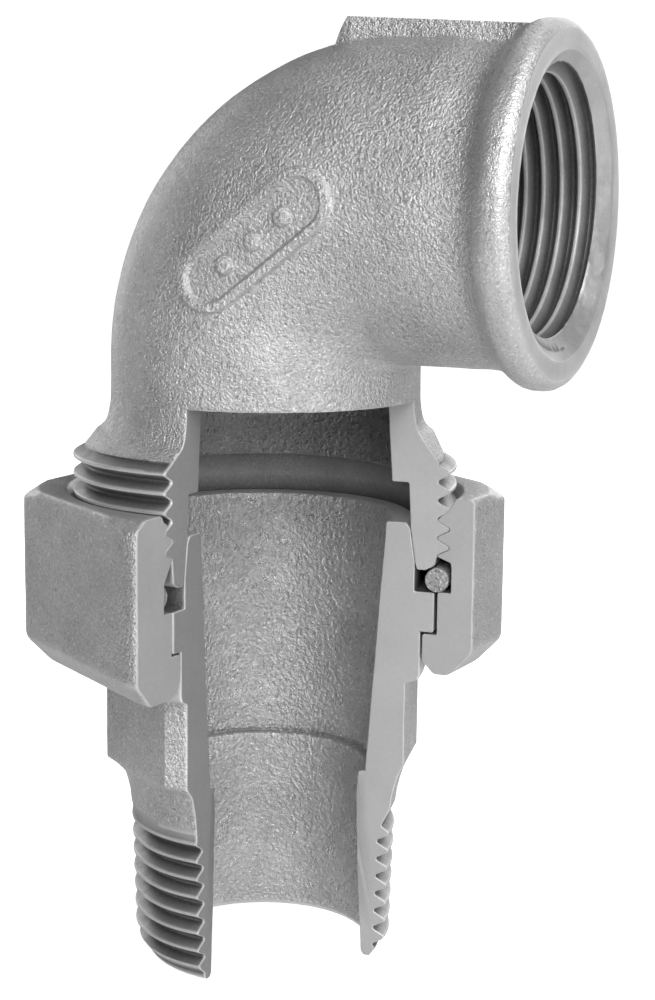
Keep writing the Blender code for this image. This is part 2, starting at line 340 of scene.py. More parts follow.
def split_sides(points, counts):
    """The profile with each side split evenly."""
    out = []
    for k, (r, z, slot, wear_and_painted_light) in enumerate(points):
        after = points[(k + 1) % len(points)]
        for step in range(counts[k]):
            t = step / counts[k]
            w = wear_and_painted_light if step == 0 else 0.0
            out.append((r + (after[0] - r) * t, z + (after[1] - z) * t, slot, w))
    return out


def profile_normals(rz):
    """Unit normals of a closed profile, in the profile's plane."""
    ahead = np.roll(rz, -1, axis=0) - rz
    ahead /= np.maximum(np.linalg.norm(ahead, axis=1, keepdims=True), 1e-9)
    mean = ahead + np.roll(ahead, 1, axis=0)
    mean /= np.maximum(np.linalg.norm(mean, axis=1, keepdims=True), 1e-9)
    area = np.sum(rz[:, 0] * np.roll(rz[:, 1], -1) - np.roll(rz[:, 0], -1) * rz[:, 1])
    sign = 1.0 if area > 0 else -1.0
    return np.stack([mean[:, 1], -mean[:, 0]], axis=1) * sign


def sweep_angles(start, end, extra=()):
    """Azimuths of a sweep with a fine step at each cut and at the extra angles."""
    steps = round((end - start) / SWEEP_STEP)
    inner = np.linspace(start + EDGE_ANGLE, end - EDGE_ANGLE, steps + 1)
    angles = [start, *inner, end]
    for special in extra:
        if start + 1.0 < special < end - 1.0:
            near = min(range(2, len(angles) - 2), key=lambda k: abs(angles[k] - special))
            angles[near] = special
    return angles


# ---------------------------------------------------------------- meshes

def finish_mesh(name, verts, faces, slots, wear_and_painted_light, materials, body, node):
    """Make a closed mesh object, in metres, that stands for a CAD node."""
    mesh = bpy.data.meshes.new(name)
    mesh.from_pydata((np.asarray(verts) * MM).tolist(), [], faces)
    mesh.polygons.foreach_set("material_index", np.asarray(slots, np.int32))
    # Per-vertex wear attribute: wear, painted highlights and painted shade, read by the
    # materials.
    values = mesh.attributes.new("wear_and_painted_light", "FLOAT", "POINT").data
    values.foreach_set("value", np.asarray(wear_and_painted_light, np.float32))
    shape = bmesh.new()
    shape.from_mesh(mesh)
    bmesh.ops.recalc_face_normals(shape, faces=shape.faces)
    shape.to_mesh(mesh)
    shape.free()
    mesh.polygons.foreach_set("use_smooth", np.ones(len(faces), bool))
    mesh.set_sharp_from_angle(angle=math.radians(SHARP_ANGLE))
    obj = bpy.data.objects.new(name, mesh)
    bpy.context.scene.collection.objects.link(obj)
    for material in materials:
        mesh.materials.append(material)
    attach(obj, body)
    if node:
        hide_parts(node)
    return obj


def swept_grid(profile_at, angles, relief, end_shade):
    """Points, slots and wear values, with painted highlights and painted shade, of a profile
    swept about Z, with eased cut edges.
    """
    counts = None
    grid, slots, wear_and_light_rows = [], None, []
    for k, angle in enumerate(angles):
        points = rounded(profile_at(angle))
        if counts is None:
            counts = side_counts(points)
        points = split_sides(points, counts)
        rz = np.array([(p[0], p[1]) for p in points])
        normals = profile_normals(rz)
        a = math.radians(angle)
        wear_and_painted_light = np.array([p[3] for p in points])
        for i, p in enumerate(points):
            if p[2] in relief and points[i - 1][2] in relief:
                at = (rz[i, 0] * math.cos(a), rz[i, 0] * math.sin(a), rz[i, 1])
                rz[i] += normals[i] * cast_relief(at) * relief[p[2]]
        # Cut faces are eased inwards. The last one gets painted shade (end_shade) and the first
        # keeps its tone.
        if k in (0, len(angles) - 1):
            rz = rz - normals * EDGE_INSET
            wear_and_painted_light = np.full(len(points), end_shade if k else 0.0)
        # Painted highlights along the cut edges.
        if k in (1, len(angles) - 2):
            wear_and_painted_light = np.full(len(points), CUT_EDGE_HIGHLIGHT)
        x = rz[:, 0] * math.cos(a)
        y = rz[:, 0] * math.sin(a)
        grid.append(np.stack([x, y, rz[:, 1]], axis=1))
        wear_and_light_rows.append(wear_and_painted_light)
        if slots is None:
            slots = [SLOTS.index(p[2]) for p in points]
    return grid, slots, wear_and_light_rows


def swept_piece(name, profile_at, angles, relief, materials, body, node, end_shade=0.0):
    """Closed piece made by sweeping a profile about Z, with a flat section at each end."""
    grid, slots, wear_and_light_rows = swept_grid(profile_at, angles, relief, end_shade)
    count = len(slots)
    section = SLOTS.index("section")
    faces, face_slots = [], []
    last = len(grid) - 1
    for s in range(last):
        for i in range(count):
            j = (i + 1) % count
            a, b = s * count, (s + 1) * count
            faces.append((a + i, a + j, b + j, b + i))
            face_slots.append(section if s in (0, last - 1) else slots[i])
    faces.append(tuple(range(count - 1, -1, -1)))
    faces.append(tuple(range(last * count, (last + 1) * count)))
    face_slots += [section, section]
    verts = np.concatenate(grid)
    wear_and_painted_light = np.concatenate(wear_and_light_rows)
    return finish_mesh(name, verts, faces, face_slots, wear_and_painted_light, materials, body, node)


def tube_point(kind, value, azimuth, radius):
    """Point of the elbow's tube, at a height 'z', a 'bend' in degrees, or a distance 'x'."""
    bend = {"z": 0.0, "bend": value, "x": 90.0}[kind]
    a = math.radians(bend)
    centre_x = value if kind == "x" else BEND_RADIUS * (1.0 - math.cos(a))
    centre_z = value if kind == "z" else HUB_HEIGHT + BEND_RADIUS * math.sin(a)
    phi = math.radians(azimuth)
    across = radius * math.cos(phi)
    x = centre_x + across * math.cos(a)
    return (x, radius * math.sin(phi), centre_z - across * math.sin(a))


def blend_step(low, high, x):
    """Smooth step from 0 at low to 1 at high."""
    t = min(1.0, max(0.0, (x - low) / (high - low)))
    return t * t * (3.0 - 2.0 * t)


def back_rise(kind, value, azimuth):
    """How much fuller the back of the bend and arm is than a round tube."""
    if kind == "z":
        share = 0.0
    elif kind == "bend":
        share = math.sin(math.radians(value))
    else:
        share = 1.0 - blend_step(*BACK_FADE_X, value)
    return BACK_RISE * share * max(0.0, -math.cos(math.radians(azimuth))) ** 2


def strip_height(kind, value, azimuth, radius):
    """Outside radius with the raised strip, whose foot wanders a little."""
    if kind == "z" or (kind == "bend" and value < STRIP_FOOT_BEND - 0.1):
        return radius
    if kind == "x" and value > STRIP_LAST_X:
        return radius
    a = math.radians(value if kind == "bend" else 90.0)
    centre_x, _, centre_z = tube_point(kind, value, 0.0, 0.0)
    height = STRIP_TOP - STRIP_FALL * (centre_x - STRIP_TOP_X) - centre_z
    off = azimuth - 180.0
    reach = height / (math.sin(a) - STRIP_FALL * math.cos(a)) / math.cos(math.radians(off))
    foot = STRIP_FOOT + 0.45 * lump((centre_x, off * 0.01, 3.0), 2.2)
    share = 1.0 - min(1.0, max(0.0, (abs(off) - STRIP_EDGE) / (foot - STRIP_EDGE)))
    if kind == "bend":
        climb = (value - STRIP_FOOT_BEND) / (STRIP_TOP_BEND - STRIP_FOOT_BEND)
        share *= min(1.0, max(0.0, climb))
    return max(radius, radius + (reach - radius) * share)


def elbow_outer_stations():
    """Stations of the elbow's outside from the window's top to the mouth's face."""
    stations = [("z", WINDOW_TOP, NECK_OUTER), ("z", WINDOW_TOP + EASE_HEIGHT, NECK_OUTER)]
    for z in np.linspace(WINDOW_TOP + 0.6, HUB_HEIGHT, 11):
        fuller = NECK_FULLER * (HUB_HEIGHT - z) / (HUB_HEIGHT - WINDOW_TOP)
        stations.append(("z", float(z), TUBE_RADIUS + fuller))
    bends = list(np.linspace(0.0, STRIP_FOOT_BEND, 92)[1:])
    bends += [78.0, 78.9, 79.8, STRIP_TOP_BEND, 81.5, 82.9, 84.3, 85.7, 87.1, 88.6, 90.0]
    for bend in bends:
        stations.append(("bend", float(bend), TUBE_RADIUS))
    xs = np.array([b[0] for b in BEAD])
    rs = np.array([b[1] for b in BEAD])
    for x in np.arange(BEND_RADIUS + 0.5, xs[0], 0.5):
        stations.append(("x", float(x), TUBE_RADIUS))
    tip = [37.95, 38.15, 38.3, 38.42, MOUTH_FACE]
    fine = np.concatenate([np.arange(xs[0], 32.0, 0.5), np.arange(32.0, 37.8, 0.3), tip])
    for x, r in zip(fine, np.interp(fine, xs, rs)):
        stations.append(("x", float(x), float(r)))
    return stations


def flare_radius(z, azimuth):
    """Outside of the collar's flare, which is lower beside the cuts."""
    start = 1.0 - math.exp(-(((azimuth - CUT_START) / FLARE_START_WIDTH) ** 2))
    end = 1.0 - math.exp(-(((azimuth - CUT_END) / FLARE_END_WIDTH) ** 2))
    shift = FLARE_LIFT * start * end
    heights = [point[0] for point in reversed(FLARE)]
    radii = [point[1] for point in reversed(FLARE)]
    return float(np.interp(z - shift, heights, radii))


def collar_profile(azimuth):
    """Collar below the window, from its outside down and round to its bore."""
    corners = [(NECK_OUTER, WINDOW_TOP, 0, "cast", 0), (19.25, 70.8, 0, "cast", 0)]
    for z in FLARE_HEIGHTS:
        corners.append((flare_radius(z, azimuth), z, 0, "cast", 0))
    turn = (CUT_END - CUT_START) / 360.0
    for height, depth in reversed(thread_lines(*COLLAR_THREAD, UNION_CREST_Z, turn)):
        z = height + rise(azimuth)
        r = UNION_CREST - THREAD_DEPTH * depth
        flare = flare_radius(z, azimuth)
        lead = COLLAR_LEAD + COLLAR_LEAD_SLOPE * (z - COLLAR_THREAD[0])
        slot = "thread" if r < flare or z < FLARE_FOOT else "cast"
        wear_and_painted_light = thread_highlight_and_shade(depth) if r < flare else 0.0
        corners.append((min(r, lead, flare), z, 0, slot, wear_and_painted_light))
    corners += [(22.1, 51.4, 0.2, "turned", 0.5), (21.0, 50.8, 0.2, "turned", 0.3)]
    corners += [(19.95, 50.8, 0.2, "turned", 0.3), (19.69, 51.6, 0.2, "turned", 0)]
    # The seat inside the collar gets painted shade.
    corners += [(19.04, 56.1, 0, "shaded_pocket", -1.5), (18.75, 61.6, 0.3, "shaded_pocket", -1.0)]
    corners += [(16.55, 61.6, 0.25, "bore", 0)]
    corners += [(NECK_BORE, WINDOW_TOP, 0, "bore", 0)]
    return corners


def elbow_piece(materials):
    """The elbow: collar, bend, arm and threaded mouth as one closed mesh."""
    strip = (STRIP_EDGE - SWEEP_STEP, STRIP_EDGE, STRIP_FOOT)
    strip_angles = [180.0 + side * off for side in (-1, 1) for off in strip]
    sweep = sweep_angles(CUT_START, CUT_END, [*strip_angles, 180.0])
    gap = CUT_START + 360.0 - CUT_END
    steps = round(gap / SWEEP_STEP)
    ring = sweep + [CUT_END + gap * k / steps for k in range(1, steps)]
    count, kept = len(ring), len(sweep)
    verts, faces, slots, wear_and_painted_light = [], [], [], []
    slot = SLOTS.index

    def add_ring(points, wear_and_light_rows):
        start = len(verts)
        verts.extend(points)
        wear_and_painted_light.extend(wear_and_light_rows)
        return start

    def join(first, second, name):
        for i in range(count):
            j = (i + 1) % count
            faces.append((first + i, first + j, second + j, second + i))
            slots.append(slot(name))

    # Painted highlights on the cut edges and painted shade on the left cut face.
    def cut_highlight_and_shade(i):
        if i in (1, kept - 2) or i >= kept:
            return CUT_EDGE_HIGHLIGHT
        return LEFT_SHADE if i == kept - 1 else 0.0

    # Outside, from the window's top to the mouth.
    stations = elbow_outer_stations()
    rings = []
    for k, (kind, value, radius) in enumerate(stations):
        points = []
        for i, azimuth in enumerate(ring):
            r = radius
            if k == 0 and (i == 0 or i >= kept - 1):
                r -= EDGE_INSET
            else:
                at = tube_point(kind, value, azimuth, r)
                fade = 1.0 if kind != "x" else 1.0 - blend_step(*BEAD_CAST_FADE, value)
                r += cast_relief(at) * fade + back_rise(kind, value, azimuth)
                r = strip_height(kind, value, azimuth, r)
            points.append(tube_point(kind, value, azimuth, r))
        edge = BEAD_EDGE_WEAR * blend_step(*BEAD_EDGE_FADE, value) if kind == "x" else 0.0
        wear_and_light = [edge] * count
        if k == 0:
            wear_and_light = [cut_highlight_and_shade(i) for i in range(count)]
        rings.append(add_ring(points, wear_and_light))
    for (kind, value, _), a, b in zip(stations, rings, rings[1:]):
        on_bead = kind == "x" and value > BEAD_SMOOTH_FROM
        join(a, b, "smooth" if on_bead else "cast")

    # Face of the mouth.
    edge_ring = rings[-1]
    for radius, wear_and_light in MOUTH_RINGS:
        points = [tube_point("x", MOUTH_FACE, azimuth, radius) for azimuth in ring]
        ring_start = add_ring(points, [wear_and_light] * count)
        join(edge_ring, ring_start, "turned")
        edge_ring = ring_start
    points = [tube_point("x", MOUTH_FACE - FACE_EDGE, azimuth, FACE_INNER) for azimuth in ring]
    inner_edge = add_ring(points, [BEAD_EDGE_WEAR] * count)
    join(edge_ring, inner_edge, "turned")

    # Female thread's lines, which climb one pitch from the seam round to it.
    seam = min(range(count), key=lambda i: abs(ring[i] - MOUTH_SEAM))
    turn_ring = ring[seam:] + [azimuth + 360.0 for azimuth in ring[:seam]]
    lines = []
    past_face = MOUTH_FACE - FACE_EDGE + PITCH
    thread = reversed(thread_lines(FEMALE_DEEP_END, past_face, FEMALE_CREST_X, 1.0))
    for k, (x, depth) in enumerate(thread):
        points, wear_and_light_rows = [], []
        for azimuth in turn_ring:
            at = x + PITCH * (azimuth - turn_ring[0]) / 360.0
            at = min(at, MOUTH_FACE - STACK_FROM - STACK_STEP * k)
            a = math.radians(azimuth)
            ragged = MOUTH_RAGGED * lump((math.cos(a) * 9.0, math.sin(a) * 9.0, at), 0.5)
            ream = FACE_INNER - MOUTH_SLOPE * (MOUTH_FACE - at) + ragged
            r = FEMALE_ROOT - THREAD_DEPTH * (1.0 - depth)
            points.append(tube_point("x", at, azimuth, max(r, ream)))
            wear_and_light_rows.append(0.25 if ream > r else thread_highlight_and_shade(depth))
        lines.append(add_ring(points, wear_and_light_rows))

    # Bore, from the thread's deep end down to the window's top.
    points = [tube_point("x", FEMALE_START_X, azimuth, FEMALE_ROOT) for azimuth in ring]
    # The ring at the thread's deep end gets painted shade.
    bore_rings = [add_ring(points, [-0.5] * count)]
    bore = [("bend", float(bend)) for bend in np.linspace(90.0, 0.0, BORE_BENDS)]
    bore += [("z", z) for z in BORE_NECK]
    for kind, value in bore:
        radius = BORE_RADIUS
        if kind == "z":
            share = (value - WINDOW_TOP) / NECK_BORE_HEIGHT
            radius = NECK_BORE - (NECK_BORE - BORE_RADIUS) * share
        points = []
        for azimuth in ring:
            rough = BORE_RELIEF * cast_relief(tube_point(kind, value, azimuth, radius))
            points.append(tube_point(kind, value, azimuth, radius - rough))
        bore_rings.append(add_ring(points, [0.0] * count))
    for height, inset in ((WINDOW_TOP + EASE_HEIGHT, 0.0), (WINDOW_TOP, EDGE_INSET)):
        points = []
        for i, azimuth in enumerate(ring):
            eased = inset if i == 0 or i >= kept - 1 else 0.0
            points.append(tube_point("z", height, azimuth, NECK_BORE + eased))
        wear_and_light = [cut_highlight_and_shade(i) if inset else 0.0 for i in range(count)]
        bore_rings.append(add_ring(points, wear_and_light))
    for a, b in zip(bore_rings, bore_rings[1:]):
        join(a, b, "bore")

    def turned_from_seam(start):
        return [start + (seam + i) % count for i in range(count)]

    # Faces of the thread, and at the seam each line meets the one that is a turn further in.
    mouth, deep = turned_from_seam(inner_edge), turned_from_seam(bore_rings[0])
    turns = [list(range(start, start + count)) for start in lines]
    chain = [mouth] + turns + [deep]
    per_turn = len(THREAD_STEPS)
    for a, b in zip(chain, chain[1:]):
        for i in range(count - 1):
            faces.append((a[i], a[i + 1], b[i + 1], b[i]))
            slots.append(slot("thread"))
    for k in range(per_turn, len(turns) - 1):
        outer = k - per_turn
        faces.append((turns[k][-1], turns[outer][0], turns[outer + 1][0], turns[k + 1][-1]))
        slots.append(slot("thread"))
    faces.append((mouth[-1], mouth[0], turns[0][0], turns[per_turn][-1]))
    faces.append(tuple([mouth[-1]] + [line[-1] for line in turns[per_turn::-1]]))
    last = turns[-1 - per_turn:]
    faces.append((last[-1][-1], last[0][0], deep[0], deep[-1]))
    faces.append(tuple([line[0] for line in last] + [deep[0]]))
    slots += [slot("thread")] * 4

    # Collar below the window's top, without the side that lies inside the neck.
    relief = {"cast": 1.0, "bore": BORE_RELIEF}
    grid, collar_slots, wear_and_light_rows = swept_grid(collar_profile, sweep, relief, LEFT_SHADE)
    top_outer, top_inner = rings[0], bore_rings[-1]
    bore_top = sum(side_counts(rounded(collar_profile(CUT_START)))[:-1])
    collar = []
    for k in range(kept):
        start = add_ring(grid[k][1:bore_top], wear_and_light_rows[k][1:bore_top])
        collar.append([top_outer + k, *range(start, start + bore_top - 1), top_inner + k])
    for s, (a, b) in enumerate(zip(collar, collar[1:])):
        for i in range(len(a) - 1):
            faces.append((a[i], a[i + 1], b[i + 1], b[i]))
            slots.append(slot("section") if s in (0, kept - 2) else collar_slots[i])

    # Section faces: both sides of the cut, and the window's top between them.
    faces.append(tuple(collar[0]))
    faces.append(tuple(reversed(collar[-1])))
    slots += [slot("section")] * 2
    for k in range(kept - 1, count):
        j = (k + 1) % count
        faces.append((top_outer + k, top_outer + j, top_inner + j, top_inner + k))
        slots.append(slot("section"))
    return finish_mesh(
        "elbow_casting", verts, faces, slots, wear_and_painted_light, materials, "elbow", "elbow_body"
    )


def polygon_radius(flat, sides, flat_azimuth, azimuth):
    """Distance from the axis to a regular polygon's side."""
    step = 360.0 / sides
    off = (azimuth - flat_azimuth + step / 2.0) % step - step / 2.0
    return flat / math.cos(math.radians(off))


def male_depth(z, depth):
    """Depth of the male thread, which fades out below the octagon."""
    return depth * (1.0 - blend_step(*MALE_FADE, z))


def male_radius(z, depth):
    """Tapered male thread with a lead-in cone at its end."""
    radius = MALE_GAUGE_RADIUS + (z - MALE_GAUGE_Z) * MALE_TAPER - THREAD_DEPTH * depth
    return min(radius, MALE_LEAD + MALE_LEAD_SLOPE * (z - MALE_THREAD[0]))


def tail_profile(azimuth):
    """Tailpiece: end face, male thread, octagon, flange, sleeve and bore."""
    corners = [(13.7, 0.0, 0.15, "turned", 0.6), (14.5, 0.0, 0.15, "turned", 0.6)]
    corners += [(MALE_LEAD, MALE_THREAD[0], 0, "thread", 0.3)]
    turn = (CUT_END - CUT_START) / 360.0
    low, high = MALE_THREAD
    lines = thread_lines(low - turn * PITCH, high + turn * PITCH, MALE_CREST_Z, turn)
    for k, (height, depth) in enumerate(lines):
        z = max(height + rise(azimuth), low + MALE_STACK_STEP * (k + 1))
        z = min(z, high - MALE_STACK_STEP * (len(lines) - k))
        depth = male_depth(z, depth)
        corners.append((male_radius(z, depth), z, 0, "thread", min(0.6, thread_highlight_and_shade(depth))))
    corners += [(16.95, MALE_THREAD[1], 0, "cast", 0), (17.1, 21.3, 0, "cast", 0)]
    corners += [(17.4, 22.6, 0, "cast", 0), (17.9, 24.3, 0.4, "cast", 0)]
    flat = polygon_radius(WRENCH_FLAT, WRENCH_SIDES, WRENCH_AZIMUTH, azimuth)
    corners += [(flat, 25.7, 0.35, "cast", 0.2), (flat, 36.3, 0.3, "turned", 0)]
    corners += [(20.1, 36.7, 0.2, "turned", 0), (20.45, 37.5, 0.3, "turned", 0)]
    # The seal's groove gets painted shade.
    corners += [(20.45, 43.02, 0.1, "shaded_pocket", -1.5), (22.15, 43.02, 0.25, "turned", 0.3)]
    corners += [(22.15, 48.0, 0.25, "shaded_pocket", -1.5), (19.6, 48.0, 0.2, "shaded_pocket", -1.5)]
    corners += [(19.6, 51.6, 0, "turned", 0), (18.95, 55.9, 0.3, "turned", 0.4)]
    corners += [(18.4, 56.55, 0.2, "turned", 0.8), (15.9, 56.55, 0.35, "bore", 0.5)]
    corners += [(14.5, 36.0, 0, "bore", 0), (13.9, 29.0, 0, "bore", 0)]
    # The step in the bore is darkened as painted shade in its crease, with a lighter lower edge.
    corners += [(13.6, 24.75, 0.08, "bore", -0.5), (13.68, 24.6, 0.05, "bore", -0.6)]
    corners += [(13.66, 24.45, 0.05, "bore", -0.6), (12.75, 24.3, 0.15, "bore", 0.3)]
    corners += [(12.5, 21.0, 0, "bore", 0), (12.9, 9.0, 0, "bore", 0)]
    corners += [(13.3, 0.6, 0.2, "turned", 0.4)]
    return corners


def nut_radius(azimuth, inset=0.0):
    """Outside of the hexagon with its corners turned down."""
    flat = polygon_radius(NUT_FLAT - inset, NUT_SIDES, NUT_AZIMUTH, azimuth)
    corner = NUT_CORNER - inset
    return corner - NUT_CORNER_SOFT * math.log1p(math.exp((corner - flat) / NUT_CORNER_SOFT))


def nut_profile(azimuth):
    """Union nut: lip, bottom, bevel, flats, top, thread, groove and ledge."""
    outside = nut_radius(azimuth)
    inset = nut_radius(azimuth, NUT_BEVEL)
    side_top = NUT_HIGH - (NUT_TOP_DROP + NUT_CORNER_FALL * (outside - NUT_FLAT))
    top_edge = min(outside - NUT_TOP_INSET, NUT_TOP_EDGE)
    corners = [(20.75, 39.3, 0.3, "smooth", 0.2), (22.3, NUT_LOW, 0.3, "smooth", 0.2)]
    corners += [(inset, NUT_LOW, 0.4, "smooth", 0.2)]
    corners += [(outside, NUT_LOW + NUT_BEVEL_HEIGHT, 0.7, "cast", 0.3)]
    corners += [(outside, side_top, 0.5, "smooth", 0.3), (top_edge, NUT_HIGH, 0.4, "smooth", 0.2)]
    corners += [(NUT_MOUTH, NUT_HIGH, 0.2, "turned", 0.5)]
    corners += [(NUT_ROOT, NUT_THREAD[1], 0, "thread", 0)]
    turn = (CUT_END - CUT_START) / 360.0
    for height, depth in reversed(thread_lines(*NUT_THREAD, UNION_CREST_Z, turn)):
        z = height + rise(azimuth)
        r = UNION_CREST + UNION_CLEARANCE - THREAD_DEPTH * depth
        lead = NUT_MOUTH - (NUT_HIGH - z)
        corners.append((max(r, lead), z, 0, "thread", thread_highlight_and_shade(1.0 - depth)))
    # The nut's groove gets painted shade.
    corners += [(NUT_ROOT, NUT_THREAD[0], 0.1, "turned", 0), (24.3, 51.2, 0, "shaded_pocket", -1.5)]
    corners += [(24.3, 48.1, 0.3, "shaded_pocket", -1.5), (22.6, 48.1, 0.2, "turned", 0)]
    # Painted shade in the nut's inner corner.
    corners += [(22.6, 42.72, 0.3, "turned", -0.5), (20.75, 42.72, 0.3, "turned", 0.2)]
    return corners


def ring_profile(_azimuth):
    """Round section of the sealing ring."""
    corners = []
    for k in range(RING_SIDES):
        a = 2.0 * math.pi * k / RING_SIDES
        r = RING_RADIUS + RING_SECTION * math.cos(a)
        z = RING_Z + RING_SECTION * math.sin(a)
        corners.append((r, z, 0, "cast", 0))
    return corners


# ---------------------------------------------------------------- raised casting mark

def bend_surface(u, v, height):
    """Point over the bend's near side: u and v run along and across the mark."""
    a = math.radians(MARK_SLOPE)
    x = MARK_CENTRE[0] + u * math.cos(a) - v * math.sin(a)
    z = MARK_CENTRE[1] + u * math.sin(a) + v * math.cos(a)
    out = Vector((x - BEND_RADIUS, 0.0, z - HUB_HEIGHT))
    centre = Vector((BEND_RADIUS, 0.0, HUB_HEIGHT)) + out.normalized() * BEND_RADIUS
    off = out.length - BEND_RADIUS
    bend = math.degrees(math.atan2(out.z, -out.x))
    radius = TUBE_RADIUS + back_rise("bend", bend, math.degrees(math.acos(-off / TUBE_RADIUS)))
    point = Vector((x, -math.sqrt(radius ** 2 - off ** 2), z))
    normal = (point - centre).normalized()
    return point + normal * (height + cast_relief(point))


def ridge_height(s):
    """Height of a raised line across its width, for s from -1 to 1."""
    return MARK_HEIGHT * min(1.0, 1.6 * math.cos(s * math.pi / 2.0) ** 1.5) - MARK_SINK


def add_ridge(verts, faces, path):
    """Closed raised line along a closed path of (u, v, outward u, outward v)."""
    across = np.linspace(-1.0, 1.0, MARK_LINE_POINTS)
    start, width = len(verts), len(across) + 2
    for u, v, nu, nv in path:
        for s in across:
            o = s * MARK_LINE
            verts.append(bend_surface(u + nu * o, v + nv * o, ridge_height(s)))
        for s in (0.9, -0.9):
            o = s * MARK_LINE
            verts.append(bend_surface(u + nu * o, v + nv * o, -MARK_ROOT))
    for k in range(len(path)):
        a, b = start + k * width, start + (k + 1) % len(path) * width
        for i in range(width):
            j = (i + 1) % width
            faces.append((a + i, a + j, b + j, b + i))


def add_dot(verts, faces, u0, v0, radius):
    """Raised round dot."""
    sides = MARK_DOT_SIDES
    start = len(verts)
    verts.append(bend_surface(u0, v0, MARK_HEIGHT))
    for share, level in MARK_DOT_LEVELS:
        r, height = radius * share, MARK_HEIGHT * level - MARK_SINK
        for k in range(sides):
            a = 2.0 * math.pi * k / sides
            verts.append(bend_surface(u0 + r * math.cos(a), v0 + r * math.sin(a), height))
    rings = len(MARK_DOT_LEVELS) - 1
    for k in range(sides):
        j = (k + 1) % sides
        faces.append((start, start + 1 + k, start + 1 + j))
        for ring in range(rings):
            a = start + 1 + ring * sides
            faces.append((a + k, a + sides + k, a + sides + j, a + j))
    last = start + 1 + rings * sides
    faces.append(tuple(last + k for k in reversed(range(sides))))


def mark_piece(materials):
    """Generic raised mark of the foundry: a long rounded outline with three dots in it."""
    verts, faces, path = [], [], []
    for side in (1.0, -1.0):
        for k in range(MARK_STRAIGHT):
            u = side * MARK_HALF * (1.0 - 2.0 * k / MARK_STRAIGHT)
            path.append((u, side * MARK_RISE, 0.0, side))
        for k in range(MARK_TURN):
            a = math.pi * k / MARK_TURN
            nu, nv = -side * math.sin(a), side * math.cos(a)
            path.append((-side * MARK_HALF + MARK_RISE * nu, MARK_RISE * nv, nu, nv))
    add_ridge(verts, faces, path)
    for u in (-MARK_DOT_STEP, 0.0, MARK_DOT_STEP):
        add_dot(verts, faces, u, 0.0, MARK_DOT)
    slots, wear_and_painted_light = [0] * len(faces), [MARK_WEAR] * len(verts)
    return finish_mesh(
        "casting_mark", verts, faces, slots, wear_and_painted_light, materials, "elbow", None
    )


# ---------------------------------------------------------------- materials

def link_noise(tree, coords, size, detail, rough=0.55):
    """Noise texture with features of about size millimetres."""
    node = tree.nodes.new("ShaderNodeTexNoise")
    node.inputs["Scale"].default_value = 1.0 / (size * MM)
    node.inputs["Detail"].default_value = detail
    node.inputs["Roughness"].default_value = rough
    tree.links.new(coords, node.inputs["Vector"])
    return node.outputs["Fac"]


def math_node(tree, operation, a, b=None, c=None, clamp=False):
    """Math node on sockets or numbers."""
    node = tree.nodes.new("ShaderNodeMath")
    node.operation = operation
    node.use_clamp = clamp
    for socket, value in zip(node.inputs, (a, b, c)):
        if value is None:
            continue
        if hasattr(value, "is_output"):
            tree.links.new(value, socket)
        else:
            socket.default_value = value
    return node.outputs[0]


def map_range(tree, value, low, high, to_low, to_high):
    """Map Range node, clamped."""
    node = tree.nodes.new("ShaderNodeMapRange")
    tree.links.new(value, node.inputs["Value"])
    names = ("From Min", "From Max", "To Min", "To Max")
    for name, number in zip(names, (low, high, to_low, to_high)):
        node.inputs[name].default_value = number
    return node.outputs["Result"]


